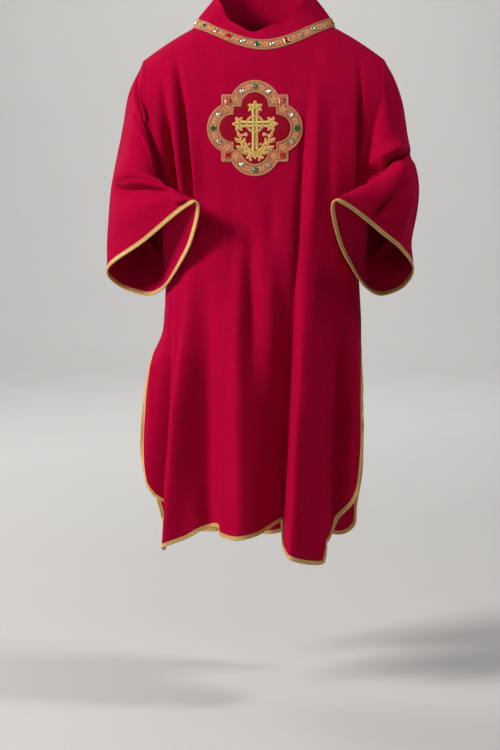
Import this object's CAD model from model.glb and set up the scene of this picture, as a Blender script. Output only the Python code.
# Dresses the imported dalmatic: cloth with its folds, edge binding, jewelled braid and the breast medallion.
# Metres, +Z up, front towards -Y, origin between the shoulders.
from functools import partial
from math import pi, radians

import bpy
import numpy as np
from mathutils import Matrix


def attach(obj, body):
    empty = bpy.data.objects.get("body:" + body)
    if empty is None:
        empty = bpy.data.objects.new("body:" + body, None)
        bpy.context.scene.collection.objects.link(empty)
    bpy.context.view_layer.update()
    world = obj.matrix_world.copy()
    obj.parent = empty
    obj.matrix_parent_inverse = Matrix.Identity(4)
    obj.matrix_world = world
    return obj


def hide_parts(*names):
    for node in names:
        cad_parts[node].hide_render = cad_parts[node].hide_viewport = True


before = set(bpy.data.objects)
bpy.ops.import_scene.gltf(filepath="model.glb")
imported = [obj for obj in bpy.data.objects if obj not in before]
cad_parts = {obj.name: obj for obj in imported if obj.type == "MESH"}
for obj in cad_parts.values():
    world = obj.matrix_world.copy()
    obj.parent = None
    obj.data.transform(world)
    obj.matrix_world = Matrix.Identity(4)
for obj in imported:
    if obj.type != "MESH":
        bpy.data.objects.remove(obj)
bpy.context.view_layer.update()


# small tools that several pieces use

def smooth(part):
    # eased step: 3t^2 - 2t^3, held between 0 and 1
    part = np.clip(part, 0, 1)
    return part * part * (3 - 2 * part)


def unit(vectors):
    # each vector divided by its own length
    return vectors / np.maximum(np.linalg.norm(vectors, axis=-1, keepdims=True), 1e-12)


def squareTo(direction, vectors):
    # each vector less its part along the direction, brought back to unit length
    return unit(vectors - direction * (vectors * direction).sum(axis=-1, keepdims=True))


def curve(at, known, values):
    # cubic through the table's rows, its slopes the harmonic mean of both sides, so it never overshoots
    order = np.argsort(known)
    known, values = np.asarray(known, float)[order], np.asarray(values, float)[order]
    step = np.diff(known)
    slope = np.diff(values) / step
    product, total = slope[:-1] * slope[1:], slope[:-1] + slope[1:]
    inner = np.where(product > 0, 2 * product / np.where(total == 0, 1, total), 0)
    tangent = np.concatenate([slope[:1], inner, slope[-1:]])
    at = np.clip(at, known[0], known[-1])
    cell = np.clip(np.searchsorted(known, at) - 1, 0, len(step) - 1)
    part = (at - known[cell]) / step[cell]
    return (
        (2 * part**3 - 3 * part**2 + 1) * values[cell]
        + (part**3 - 2 * part**2 + part) * tangent[cell] * step[cell]
        + (3 * part**2 - 2 * part**3) * values[cell + 1]
        + (part**3 - part**2) * tangent[cell + 1] * step[cell]
    )


def spline(controls, at):
    # Catmull-Rom curve through the rows of controls, read at these row numbers
    before, after = 2 * controls[:1] - controls[1:2], 2 * controls[-1:] - controls[-2:-1]
    padded = np.concatenate([before, controls, after])
    cell = np.clip(np.floor(at).astype(int), 0, len(controls) - 2)
    part = (at - cell).reshape((-1,) + (1,) * (controls.ndim - 1))
    p0, p1, p2, p3 = (padded[cell + k] for k in range(4))
    return 0.5 * (
        2 * p1 + (p2 - p0) * part + (2 * p0 - 5 * p1 + 4 * p2 - p3) * part**2
        + (3 * p1 - p0 - 3 * p2 + p3) * part**3
    )


def roundSpline(points, count):
    # the same curve closed into a ring, read at count even places
    wrapped = np.concatenate([points[-2:], points, points[:3]])
    return spline(wrapped, np.arange(count) * len(points) / count + 2)


def gridNormals(points, closed=False):
    # cross product of the way down the rows and the way along the columns
    if closed:
        along = np.roll(points, -1, axis=1) - np.roll(points, 1, axis=1)
    else:
        along = np.gradient(points, axis=1)
    return unit(np.cross(np.gradient(points, axis=0), along))


def runLengths(points, axis):
    # distance travelled along one axis of a grid, starting at 0
    steps = np.linalg.norm(np.diff(points, axis=axis), axis=-1)
    start = np.zeros_like(np.take(steps, [0], axis=axis))
    return np.concatenate([start, np.cumsum(steps, axis=axis)], axis=axis)


def readBetween(values, row, column, closed=False):
    # a grid read at broken rows and columns: the four places round each, shared out by nearness.
    # On a closed grid the last column meets the first
    rows, columns = values.shape[:2]
    row = np.clip(row, 0, rows - 1.001)
    if not closed:
        column = np.clip(column, 0, columns - 1.001)
    low, left = np.floor(row).astype(int), np.floor(column).astype(int)
    up, across = row - low, column - left
    if values.ndim > 2:
        up, across = up[..., None], across[..., None]
    left, right = left % columns, (left + 1) % columns
    lower = values[low, left] * (1 - across) + values[low, right] * across
    upper = values[low + 1, left] * (1 - across) + values[low + 1, right] * across
    return lower * (1 - up) + upper * up


def wander(u, v, size, seed):
    # slow irregular waves: sines of unlike lengths and directions, added up, about -1 to 1
    random = np.random.default_rng(seed)
    waves = 9
    total = np.zeros_like(u)
    for _ in range(waves):
        angle, stretch = random.uniform(0, 2 * pi), random.uniform(0.6, 1.7)
        phase = random.uniform(0, 2 * pi)
        total += np.sin((u * np.cos(angle) + v * np.sin(angle)) * 2 * pi / (size * stretch) + phase)
    return total * 2 / waves


def creaseShift(u, v, creases, around=None):
    # each row: height, width on the right and on the left of its direction, and the points of its
    # line.  A bell with two widths follows a smooth line through them and fades out at both ends.
    stepsAPoint, fadeShare = 12, 0.22
    total = np.zeros_like(u)
    for height, right, left, points in creases:
        line = spline(np.array(points, float), np.linspace(0, len(points) - 1, stepsAPoint * len(points)))
        nearest, aside, run = np.full(u.shape, np.inf), np.zeros_like(u), np.zeros_like(u)
        for k, (start, step) in enumerate(zip(line[:-1], np.diff(line, axis=0))):
            length = np.hypot(*step)
            fromU, fromV = u - start[0], v - start[1]
            if around:
                fromU = (fromU + around / 2) % around - around / 2
            part = ((fromU * step[0] + fromV * step[1]) / length**2).clip(0, 1)
            distance = np.hypot(fromU - part * step[0], fromV - part * step[1])
            side = np.sign(fromV * step[0] - fromU * step[1])
            closer = distance < nearest
            nearest = np.where(closer, distance, nearest)
            aside = np.where(closer, distance * side, aside)
            run = np.where(closer, (k + part) / (len(line) - 1), run)
        fade = smooth(run / fadeShare) * smooth((1 - run) / fadeShare)
        total += height * fade * np.exp(-((aside / np.where(aside < 0, right, left)) ** 2))
    return total


def setPoints(name, points, faces, smoothed=True):
    # a piece of these points and faces, at the origin
    mesh = bpy.data.meshes.new(name)
    if not isinstance(faces, list):
        faces = faces.tolist()
    mesh.from_pydata(points.reshape(-1, 3).tolist(), [], faces)
    mesh.polygons.foreach_set("use_smooth", np.full(len(mesh.polygons), smoothed))
    piece = bpy.data.objects.new(name, mesh)
    bpy.context.scene.collection.objects.link(piece)
    return piece


def addUV(piece, u, v, nextU=None, nextV=None):
    # one value of u and v a vertex, given to each of its corners.  A face that closes a ring takes
    # the next turn's value where its own has started again
    mesh = piece.data
    corners = np.empty(len(mesh.loops), np.int32)
    mesh.loops.foreach_get("vertex_index", corners)
    places = []
    for values, nextValues in ((u, nextU), (v, nextV)):
        read = values.ravel()[corners]
        if nextValues is not None:
            faces = read.reshape(-1, 4)
            again = faces.max(axis=1, keepdims=True) - faces > np.ptp(values) / 2
            read = np.where(again, nextValues.ravel()[corners].reshape(-1, 4), faces).ravel()
        places.append(read)
    layer = mesh.uv_layers.new(name="UVMap")
    layer.data.foreach_set("uv", np.stack(places, -1).astype(np.float32).ravel())


def cornerRows(*corners):
    # one row a face from the four grids of its corners
    return np.stack([corner.ravel() for corner in corners], axis=-1)


def gridFaces(rows, columns, closed=False):
    # the four corners of every cell of a grid
    index = np.arange(rows * columns).reshape(rows, columns)
    if closed:
        index = np.concatenate([index, index[:, :1]], axis=1)
    return cornerRows(index[:-1, :-1], index[1:, :-1], index[1:, 1:], index[:-1, 1:])


def thicken(piece, thickness):
    # a wall of this thickness, half to each side of the piece's own surface
    solidify = piece.modifiers.new("wall", "SOLIDIFY")
    solidify.thickness, solidify.offset = thickness, 0.0


def clothSheet(name, grid, wall, closed=False):
    # an open grid with its wall from Solidify; UV is the run across and down, in metres
    piece = setPoints(name, grid, gridFaces(*grid.shape[:2], closed))
    middle = grid.shape[1] // 2
    across = runLengths(grid, 1)
    whole = across[:, -1:] + np.linalg.norm(grid[:, :1] - grid[:, -1:], axis=-1)
    across -= across[:, [middle]]
    addUV(piece, across, runLengths(grid, 0), across + whole if closed else None)
    thicken(piece, wall)
    return piece


def ringsToTube(name, rings, centres, closed):
    # a tube through these rings; U is the run along it in metres, V the share of the way round
    count, sides = rings.shape[:2]
    points, faces = tubeMesh(rings, closed)
    piece = setPoints(name, points, faces)
    run = runLengths(centres, 0)
    u = np.repeat(run, sides)
    v = np.tile(np.arange(sides) / sides, count)
    if closed:
        addUV(piece, u, v, u + run[-1] + np.linalg.norm(centres[0] - centres[-1]), v + 1)
    else:
        addUV(piece, np.append(u, [0, run[-1]]), np.append(v, [0, 0]))
    return piece


def tubeMesh(rings, closed):
    # quads between rings; an open tube gets a point in the middle of each end
    count, sides = rings.shape[:2]
    index = np.arange(count * sides).reshape(count, sides)
    index = np.concatenate([index, index[:, :1]], axis=1)
    if closed:
        index = np.concatenate([index, index[:1]])
    faces = cornerRows(index[:-1, :-1], index[:-1, 1:], index[1:, 1:], index[1:, :-1]).tolist()
    points = rings.reshape(-1, 3)
    if not closed:
        points = np.concatenate([points, [rings[0].mean(axis=0), rings[-1].mean(axis=0)]])
        first, last = count * sides, count * sides + 1
        faces += [[index[0, k + 1], index[0, k], first] for k in range(sides)]
        faces += [[index[-1, k], index[-1, k + 1], last] for k in range(sides)]
    return points, faces


# the two panels

panels = {
    "wall": 0.002,
    "seamGap": 0.0004,
    "yokeFoot": -0.22,
    "underarm": -0.50,
    "slitTop": -0.65,
    "yokeRows": 7, "armRows": 6, "sideRows": 3, "skirtRows": 9,  # the solid's rows in each stretch
    "finerRows": 8,
    "frontColumns": (22, 9), "backColumns": (16, 6),  # beside the neck, and on each side of it
    "finerColumns": 5,
    "neckShare": 0.56,
    "neckReach": (0.098, 0.072),  # front and back
    "shoulderMiddle": 0.0145,
    "shoulderLine": (0.074, 0.18, 1.1, 0.05),  # top, slope, droop, and how far its middle is softened
    "roundness": 2.4,
    "yokeRoundness": 2.2,
    "slitSpread": 0.012, "slitSpreadOver": 0.45,  # the sides stand off, and how far below the slit's top
    "bindingRoom": 0.0092, "bindingRoomOver": 0.025,
    "bindingWidth": 0.0085,
    "cornerWidths": (0.058, 0.072),
    "cornerHeights": (0.170, 0.255),
    "cornerRoundness": (2.15, 1.9),
    # height, left, right, back left, back right, half angle, depth in front, depth behind
    "sections": [
        (-0.055, -0.248, 0.273, -0.248, 0.273, 42, 0.122, 0.118),
        (-0.120, -0.247, 0.268, -0.247, 0.268, 44, 0.125, 0.122),
        (-0.220, -0.230, 0.242, -0.230, 0.242, 46, 0.130, 0.126),
        (-0.320, -0.206, 0.226, -0.206, 0.226, 50, 0.138, 0.130),
        (-0.420, -0.196, 0.218, -0.196, 0.218, 64, 0.146, 0.133),
        (-0.500, -0.200, 0.222, -0.200, 0.222, 90, 0.150, 0.136),
        (-0.570, -0.206, 0.227, -0.206, 0.227, 90, 0.151, 0.142),
        (-0.650, -0.212, 0.230, -0.212, 0.230, 90, 0.151, 0.148),
        (-0.720, -0.238, 0.229, -0.220, 0.230, 84, 0.152, 0.151),
        (-0.800, -0.249, 0.228, -0.228, 0.233, 77, 0.153, 0.154),
        (-0.900, -0.254, 0.226, -0.234, 0.236, 70, 0.154, 0.157),
        (-1.000, -0.238, 0.215, -0.237, 0.238, 66, 0.157, 0.160),
        (-1.080, -0.218, 0.204, -0.238, 0.239, 62, 0.159, 0.162),
        (-1.200, -0.212, 0.196, -0.240, 0.240, 60, 0.162, 0.164),
    ],
    # folds: start height and x, end height and x, width on the left and on the right of the line,
    # rise outward, lean sideways.  Hanging ones stay open below their end
    "frontHanging": [
        (-0.58, -0.222, -0.90, -0.240, 0.014, 0.014, 0.008, 0.000),
        (-0.52, -0.188, -1.12, -0.228, 0.014, 0.009, -0.034, 0.010),
        (-0.50, -0.143, -1.12, -0.180, 0.018, 0.016, 0.030, -0.015),
        (-0.48, -0.112, -1.10, -0.110, 0.030, 0.023, -0.027, 0.000),
        (-0.46, -0.044, -1.10, -0.036, 0.024, 0.034, 0.029, -0.004),
        (-0.92, -0.074, -1.16, -0.078, 0.006, 0.020, 0.005, -0.006),
        (-0.46, 0.077, -1.12, 0.040, 0.040, 0.012, -0.044, 0.015),
        (-0.44, 0.113, -1.12, 0.082, 0.017, 0.032, 0.031, -0.016),
        (-0.48, 0.120, -1.12, 0.142, 0.020, 0.008, 0.006, 0.006),
        (-0.50, 0.180, -1.10, 0.186, 0.050, 0.018, -0.034, 0.010),
        (-0.60, 0.215, -1.00, 0.206, 0.016, 0.020, 0.010, 0.000),
    ],
    "frontPassing": [
        (-0.04, -0.178, -0.48, -0.137, 0.010, 0.007, -0.026, 0.006),
        (-0.04, -0.190, -0.42, -0.162, 0.009, 0.007, 0.006, 0.000),
        (-0.08, -0.208, -0.46, -0.184, 0.010, 0.007, -0.018, 0.004),
        (-0.17, -0.203, -0.42, -0.180, 0.012, 0.010, -0.020, 0.000),
        (-0.04, 0.220, -0.48, 0.211, 0.005, 0.008, -0.015, 0.000),
        (-0.07, 0.208, -0.44, 0.201, 0.026, 0.006, 0.006, 0.003),
        (-0.06, 0.135, -0.50, 0.120, 0.016, 0.060, 0.012, 0.000),
        (-0.08, 0.124, -0.56, 0.102, 0.008, 0.012, 0.006, 0.000),
        (-0.08, 0.156, -0.56, 0.143, 0.018, 0.014, -0.006, 0.000),
        (-0.14, 0.104, -0.72, 0.070, 0.009, 0.006, -0.013, 0.000),
        (-0.14, -0.118, -0.56, -0.120, 0.016, 0.018, -0.004, 0.000),
        (-0.30, -0.060, -0.62, -0.056, 0.014, 0.020, -0.004, 0.000),
        (-0.30, 0.030, -0.60, 0.024, 0.014, 0.016, -0.004, 0.000),
        (-0.40, -0.018, -0.80, -0.016, 0.016, 0.016, -0.015, 0.000),
        (-0.42, 0.026, -0.84, 0.026, 0.018, 0.016, 0.010, 0.000),
    ],
    "backHanging": [
        (-0.55, -0.222, -1.15, -0.224, 0.030, 0.018, -0.016, 0.000),
        (-0.35, -0.158, -1.15, -0.172, 0.016, 0.036, 0.020, -0.012),
        (-0.40, -0.105, -1.15, -0.104, 0.028, 0.024, -0.018, 0.000),
        (-0.30, -0.045, -1.15, -0.040, 0.036, 0.022, 0.020, 0.008),
        (-0.38, 0.018, -1.15, 0.026, 0.024, 0.028, -0.018, 0.000),
        (-0.32, 0.075, -1.15, 0.090, 0.018, 0.038, 0.022, -0.010),
        (-0.42, 0.140, -1.15, 0.152, 0.028, 0.022, -0.018, 0.000),
        (-0.45, 0.200, -1.15, 0.208, 0.030, 0.018, 0.016, 0.006),
    ],
    "backPassing": [
        (-0.06, -0.168, -0.45, -0.148, 0.020, 0.020, -0.007, 0.000),
        (-0.06, 0.178, -0.45, 0.158, 0.020, 0.020, -0.007, 0.000),
        (-0.16, -0.080, -0.60, -0.070, 0.018, 0.014, -0.005, 0.000),
        (-0.20, 0.040, -0.56, 0.048, 0.014, 0.018, -0.005, 0.000),
        (-0.10, 0.110, -0.40, 0.104, 0.018, 0.018, 0.005, 0.000),
    ],
    # lowest edge between the round corners: x, height.  It steps where a fold hides the riser
    "frontHem": [
        (-0.2152, -1.118), (-0.2070, -1.124), (-0.2030, -1.158), (-0.184, -1.126), (-0.149, -1.098),
        (-0.127, -1.085), (-0.086, -1.077), (-0.080, -1.090), (-0.051, -1.098), (-0.007, -1.092),
        (0.026, -1.074), (0.040, -1.068), (0.046, -1.112), (0.0773, -1.138), (0.139, -1.161),
        (0.146, -1.122), (0.2007, -1.140),
    ],
    "backHem": [(-0.227, -1.152), (-0.099, -1.138), (0.020, -1.146), (0.120, -1.136), (0.227, -1.156)],
    # creases: height, width on the right and on the left, then (x, z)
    "frontCreases": [
        (-0.007, 0.008, 0.010, [(-0.196, -0.235), (-0.192, -0.275), (-0.184, -0.320), (-0.170, -0.380)]),
        (0.003, 0.020, 0.010, [(0.070, -0.640), (0.120, -0.800), (0.130, -0.960)]),
        (-0.003, 0.010, 0.014, [(-0.160, -0.560), (-0.170, -0.700), (-0.150, -0.860)]),
    ],
    "backCreases": [
        (-0.004, 0.012, 0.016, [(-0.120, -0.180), (-0.070, -0.300), (-0.050, -0.430)]),
        (-0.004, 0.014, 0.012, [(0.140, -0.200), (0.110, -0.320), (0.060, -0.440)]),
    ],
    "unevenness": 0.0016, "unevenSize": 0.075,
    "edgeHold": 0.026,  # folds flatten this near an edge above the slits
    "edgeFree": 0.4, "edgeFreeOver": 0.15,  # share they keep below the slit's top, and how soon
    "quietEdge": 0.03, "quietNeck": 0.05,  # and small creases this near an edge and the neck
}


def shoulderHeight(x):
    # the shoulder line: a softened slope and a fall that grows with the square of the reach
    top, slope, droop, soften = panels["shoulderLine"]
    reach = np.sqrt((x - panels["shoulderMiddle"]) ** 2 + soften**2)
    return top - slope * reach - droop * reach**2


def foldShift(across, x, z, folds, passing):
    # a bell across the cloth for each fold, with its own width to each side, following its line;
    # hanging ones open quickly and stay open, passing ones swell and close again
    outward, sideways = np.zeros_like(across), np.zeros_like(across)
    for startZ, startX, endZ, endX, left, right, rise, lean in folds:
        run = (startZ - z) / (startZ - endZ)
        lineX = startX + (endX - startX) * np.clip(run, 0, 1.1)
        middle = np.stack([np.interp(lineX[k], x[k], across[k]) for k in range(len(x))])
        aside = across - middle
        amount = np.sin(pi * np.clip(run, 0, 1)) ** 1.2 if passing else smooth(run * 1.6) ** 0.75
        bell = np.exp(-((aside / np.where(aside < 0, left, right)) ** 2)) * amount
        outward += rise * bell
        sideways += lean * bell
    return outward, sideways


def bodySection(height, isFront):
    # middle, half width, half angle and depth of the body at these heights
    table = np.array(panels["sections"])
    first = 1 if isFront else 3
    left, right = (curve(height, table[:, 0], table[:, first + k]) for k in (0, 1))
    halfAngle = np.radians(curve(height, table[:, 0], table[:, 5]))
    depth = curve(height, table[:, 0], table[:, 6 if isFront else 7])
    return (left + right) / 2, (right - left) / 2, halfAngle, depth


def columnPlaces(counts):
    # where the columns lie, -1 to 1 across, closer together beside the neck
    neckColumns, sideColumns = (count * panels["finerColumns"] for count in counts)
    neck = np.linspace(-1, 1, neckColumns + 1)
    neck = panels["neckShare"] * (0.8 * neck + 0.2 * np.sin(neck * pi / 2))
    side = np.linspace(panels["neckShare"], 1, sideColumns + 1)[1:]
    return np.concatenate([-side[::-1], neck, side])


def hemLine(places, isFront):
    # height of the cloth's edge in each column: the table's line, its corners turned on a
    # rounded square, less the binding
    table = np.array(panels["frontHem" if isFront else "backHem"])
    level = np.full(places.shape, table[:, 1].mean())
    middle, halfWidth, halfAngle, depth = bodySection(level, isFront)
    fine = np.linspace(-1, 1, 401)
    share = np.sin(fine * halfAngle[0, 0]) / np.sin(halfAngle[0, 0])
    inward = np.abs(share) ** panels["roundness"] * np.sin(halfAngle[0, 0]) ** 2
    x, y = halfWidth[0, 0] * share, depth[0, 0] * (1 - inward) ** (1 / panels["roundness"])
    run = np.concatenate([[0], np.cumsum(np.hypot(np.diff(x), np.diff(y)))])
    across = np.interp(places, fine, run - run[200])
    low = curve(middle[0, 0] + np.interp(places, fine, x), table[:, 0], table[:, 1])
    low = low + panels["bindingWidth"]
    width = np.where(across < 0, *panels["cornerWidths"])
    height = np.where(across < 0, *panels["cornerHeights"])
    roundness = np.where(across < 0, *panels["cornerRoundness"])
    intoCorner = ((np.abs(across) - (run[-1] - run[0]) / 2) / width + 1).clip(0, 1)
    return low + height * (1 - (1 - intoCorner**roundness) ** (1 / roundness))


def rowHeights(places, isFront):
    # heights of the rows below the yoke: down to the underarm, down the closed side, then the
    # skirt's, spread evenly to the hem line
    finer, slitTop = panels["finerRows"], panels["slitTop"]
    armEdge = np.linspace(panels["yokeFoot"], panels["underarm"], panels["armRows"] * finer + 1)
    sideEdge = np.linspace(panels["underarm"], slitTop, panels["sideRows"] * finer + 1)
    skirtPart = np.linspace(0, 1, panels["skirtRows"] * finer + 1)[1:, None]
    skirt = slitTop + (hemLine(places, isFront) - slitTop) * skirtPart
    return np.concatenate([np.concatenate([armEdge[1:], sideEdge[1:]])[:, None] + 0 * places, skirt])


def panelShift(across, x, y, z, isFront):
    # how far the cloth moves outward and sideways: folds, held flat near the edges, then creases
    # and slow unevenness, which fade out at the edges and the neck
    side = "front" if isFront else "back"
    outward, sideways = foldShift(across, x, z, panels[side + "Hanging"], False)
    moreOutward, moreSideways = foldShift(across, x, z, panels[side + "Passing"], True)
    fromEdge = np.minimum(across - across[:, :1], across[:, -1:] - across)
    held = smooth(fromEdge / panels["edgeHold"])
    belowTop = smooth((panels["slitTop"] - z) / panels["edgeFreeOver"])
    keep = held + (1 - held) * belowTop * panels["edgeFree"]
    outward, sideways = (outward + moreOutward) * keep, (sideways + moreSideways) * keep
    atNeck = smooth(runLengths(np.stack([x, y, z], -1), 0) / panels["quietNeck"])
    quiet = smooth(fromEdge / panels["quietEdge"]) * atNeck
    outward += creaseShift(x, z, panels[side + "Creases"]) * quiet
    uneven = wander(across, z * 0.45, panels["unevenSize"], 11 if isFront else 23)
    outward += uneven * panels["unevenness"] * quiet
    return outward, sideways


def panelGrid(isFront):
    # rows from the shoulder to the hem.  Each row is a superellipse section; above the yoke's foot
    # the rows turn over to the shoulder line on another one.  Then the cloth moves out along the
    # section's normal and sideways along the section
    finer = panels["finerRows"]
    places = columnPlaces(panels["frontColumns" if isFront else "backColumns"])[None, :]
    facing = -1.0 if isFront else 1.0
    yokeRows = panels["yokeRows"] * finer
    foot, slitTop = panels["yokeFoot"], panels["slitTop"]
    turnPart = (1 - np.linspace(0, 1, yokeRows + 1) ** 1.25)[:, None]
    tip = shoulderHeight(np.array(panels["sections"][0][1]))
    power = 2 / panels["yokeRoundness"]
    yokeEdge = foot + (tip - foot) * np.sin(turnPart * pi / 2) ** power
    lower = rowHeights(places, isFront)
    levels = np.concatenate([yokeEdge + 0 * places, lower])

    middle, halfWidth, halfAngle, depth = bodySection(levels, isFront)
    roundness = panels["roundness"]
    share = np.sin(places * halfAngle) / np.sin(halfAngle)
    roundOff = (1 - np.abs(share) ** roundness * np.sin(halfAngle) ** 2).clip(0) ** (1 / roundness)
    x = middle + halfWidth * share
    neckReach = panels["neckReach"][0 if isFront else 1]
    inside = (1 - (places[0] / panels["neckShare"]) ** 2).clip(0) ** 0.5
    startCos = (neckReach * inside / (depth[0] * roundOff[0])) ** (1 / power)
    turn = turnPart * np.arccos(startCos.clip(0, 0.95))[None, :]
    reach = np.ones_like(x)
    reach[: yokeRows + 1] = np.cos(turn).clip(0) ** power
    top = shoulderHeight(x[: yokeRows + 1])
    z = np.concatenate([foot + (top - foot) * np.sin(turn).clip(0) ** power, lower])
    y = depth * roundOff * reach

    steps = np.hypot(np.diff(x, axis=1), np.diff(depth * roundOff, axis=1))
    across = np.concatenate([np.zeros((len(x), 1)), np.cumsum(steps, axis=1)], axis=1)
    across -= across[:, [len(places[0]) // 2]]
    outward, sideways = panelShift(across, x, y, z, isFront)

    gradientX = np.sign(share) * np.abs(share) ** (roundness - 1) * np.sin(halfAngle) ** 2 / halfWidth
    gradientY = roundOff ** (roundness - 1) / depth
    length = np.hypot(gradientX, gradientY)
    normalX, normalY = gradientX / length, gradientY / length
    x = x + normalX * outward + normalY * sideways
    y = y + normalY * outward - normalX * sideways
    spread = panels["slitSpread"] * smooth((slitTop - z) / panels["slitSpreadOver"])
    room = panels["bindingRoom"] * smooth((slitTop - z) / panels["bindingRoomOver"])
    y += spread * np.abs(places) ** 3
    y += room * np.abs(places) ** 12
    return np.stack([x, facing * (y + panels["seamGap"] / 2), z], axis=-1)


front, back = panelGrid(True), panelGrid(False)
frontCloth = clothSheet("frontPanel", front, panels["wall"])
backCloth = clothSheet("backPanel", back, panels["wall"])
print("panels made")


# the sleeves

sleeves = {
    # rings from the armhole to the cuff.  Round each: outer, front outer, front, front inner, under,
    # back inner, back, back outer; each point is outward from the shoulders' middle, y, z
    "rings": [
        [(0.299, 0.000, -0.130), (0.281, -0.086, -0.185), (0.250, -0.116, -0.262), (0.226, -0.106, -0.380),
         (0.224, -0.016, -0.501), (0.232, 0.070, -0.420), (0.266, 0.098, -0.300), (0.286, 0.073, -0.180)],
        [(0.321, -0.006, -0.238), (0.300, -0.102, -0.262), (0.250, -0.132, -0.300), (0.216, -0.124, -0.390),
         (0.222, -0.036, -0.505), (0.238, 0.045, -0.470), (0.284, 0.085, -0.385), (0.316, 0.062, -0.285)],
        [(0.340, -0.020, -0.332), (0.306, -0.118, -0.328), (0.228, -0.154, -0.324), (0.198, -0.134, -0.404),
         (0.217, -0.055, -0.510), (0.238, 0.014, -0.513), (0.287, 0.056, -0.468), (0.332, 0.040, -0.385)],
        [(0.345, -0.036, -0.425), (0.288, -0.130, -0.384), (0.186, -0.182, -0.340), (0.180, -0.142, -0.424),
         (0.212, -0.074, -0.518), (0.237, -0.014, -0.542), (0.279, 0.022, -0.535), (0.335, 0.014, -0.478)],
        [(0.347, -0.046, -0.505), (0.262, -0.130, -0.438), (0.146, -0.202, -0.362), (0.158, -0.154, -0.452),
         (0.203, -0.102, -0.529), (0.232, -0.047, -0.561), (0.264, -0.006, -0.574),
         (0.324, -0.010, -0.554)],
    ],
    "rows": 144,
    "turn": 0.007,  # how far the sleeve first goes on in the panel's direction
    "underarmTurn": 0.75,
    "rightCuffIn": 0.020,  # the right sleeve's last two rings are drawn in by this
    "leftCuffDown": 0.014,  # and the left one's last is let down
    "aroundUnit": 0.115, "alongUnit": 0.085,  # metres that one step of the table stands for
    # creases: height, width on the right and on the left, then (around, along) in those metres
    "leftCreases": [
        (-0.026, 0.009, 0.008, [(0.010, -0.020), (0.060, 0.056), (0.100, 0.083), (0.140, 0.083),
            (0.192, 0.080), (0.245, 0.024), (0.290, -0.034), (0.320, -0.070)]),
        (0.006, 0.010, 0.012, [(0.120, 0.010), (0.170, 0.045), (0.215, 0.050), (0.250, 0.010)]),
        (0.005, 0.016, 0.012, [(0.060, 0.120), (0.140, 0.135), (0.210, 0.140), (0.270, 0.100)]),
        (0.009, 0.026, 0.007, [(0.040, 0.262), (0.100, 0.268), (0.170, 0.268), (0.210, 0.276),
            (0.240, 0.296)]),
        (-0.026, 0.008, 0.024, [(0.030, 0.280), (0.100, 0.296), (0.172, 0.306), (0.205, 0.325),
            (0.230, 0.345), (0.242, 0.380), (0.246, 0.425)]),
        (-0.008, 0.014, 0.022, [(0.060, 0.300), (0.130, 0.325), (0.175, 0.335), (0.200, 0.350)]),
        (-0.003, 0.018, 0.022, [(0.020, 0.180), (0.100, 0.200), (0.180, 0.200)]),
        (-0.007, 0.018, 0.014, [(0.540, 0.120), (0.700, 0.170), (0.860, 0.180)]),
        (-0.008, 0.012, 0.018, [(0.560, 0.250), (0.700, 0.255), (0.840, 0.300)]),
        (-0.006, 0.012, 0.012, [(0.600, 0.040), (0.690, 0.080), (0.780, 0.060)]),
    ],
    "rightCreases": [
        (-0.028, 0.007, 0.011, [(-0.050, 0.195), (0.000, 0.205), (0.050, 0.216), (0.100, 0.226),
            (0.150, 0.227), (0.195, 0.218), (0.235, 0.190), (0.262, 0.137), (0.292, 0.060),
            (0.315, 0.000), (0.330, -0.060)]),
        (0.004, 0.022, 0.024, [(0.120, 0.255), (0.170, 0.272), (0.200, 0.300), (0.205, 0.350),
            (0.200, 0.410), (0.190, 0.460)]),
        (0.009, 0.022, 0.008, [(0.070, 0.200), (0.130, 0.204), (0.180, 0.196), (0.220, 0.166),
            (0.250, 0.110), (0.280, 0.050)]),
        (-0.026, 0.006, 0.018, [(0.030, 0.222), (0.075, 0.242), (0.115, 0.268), (0.130, 0.305),
            (0.140, 0.350), (0.146, 0.392), (0.148, 0.440)]),
        (0.020, 0.040, 0.010, [(0.090, 0.225), (0.140, 0.260), (0.158, 0.300), (0.164, 0.350),
            (0.166, 0.395), (0.168, 0.435)]),
        (0.012, 0.035, 0.026, [(0.080, 0.290), (0.085, 0.360), (0.088, 0.430), (0.090, 0.520)]),
        (-0.004, 0.012, 0.012, [(0.200, 0.250), (0.225, 0.320), (0.225, 0.400)]),
        (-0.007, 0.018, 0.014, [(0.540, 0.140), (0.700, 0.170), (0.860, 0.160)]),
        (-0.008, 0.012, 0.018, [(0.560, 0.270), (0.690, 0.280), (0.820, 0.330)]),
        (-0.006, 0.012, 0.012, [(0.600, 0.030), (0.690, 0.075), (0.780, 0.060)]),
    ],
    "unevenness": 0.0018, "unevenSize": 0.09,
    "quietSeam": 0.045, "quietCuff": 0.04,  # creases and unevenness weaken this near both ends
    "cuffShare": 0.35,  # what is left of them at the cuff
}


def armhole(side):
    # the panels' edges as one ring, and the way the sleeve leaves them: straight on at the
    # shoulder, turning outward down to the underarm
    edge, inner = (0, 1) if side < 0 else (-1, -2)
    last = (panels["yokeRows"] + panels["armRows"]) * panels["finerRows"]
    ring = np.concatenate([front[: last + 1, edge], back[1:last, edge][::-1]])
    ring[0] = (front[0, edge] + back[0, edge]) / 2
    ring[last] = (front[last, edge] + back[last, edge]) / 2
    inside = np.concatenate([front[: last + 1, inner], back[1:last, inner][::-1]])
    onward = unit(ring - inside)
    toUnderarm = np.abs(np.arange(len(ring)) - last) / last
    turned = smooth(1 - toUnderarm / sleeves["underarmTurn"])[:, None]
    outward = unit(onward * (1 - turned) + unit(np.array([side, 0.0, -0.25])) * turned)
    corner = np.linalg.norm(np.cross(onward, outward), axis=-1, keepdims=True)
    return ring, outward, panels["seamGap"] + corner * panels["wall"] * 0.7


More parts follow.
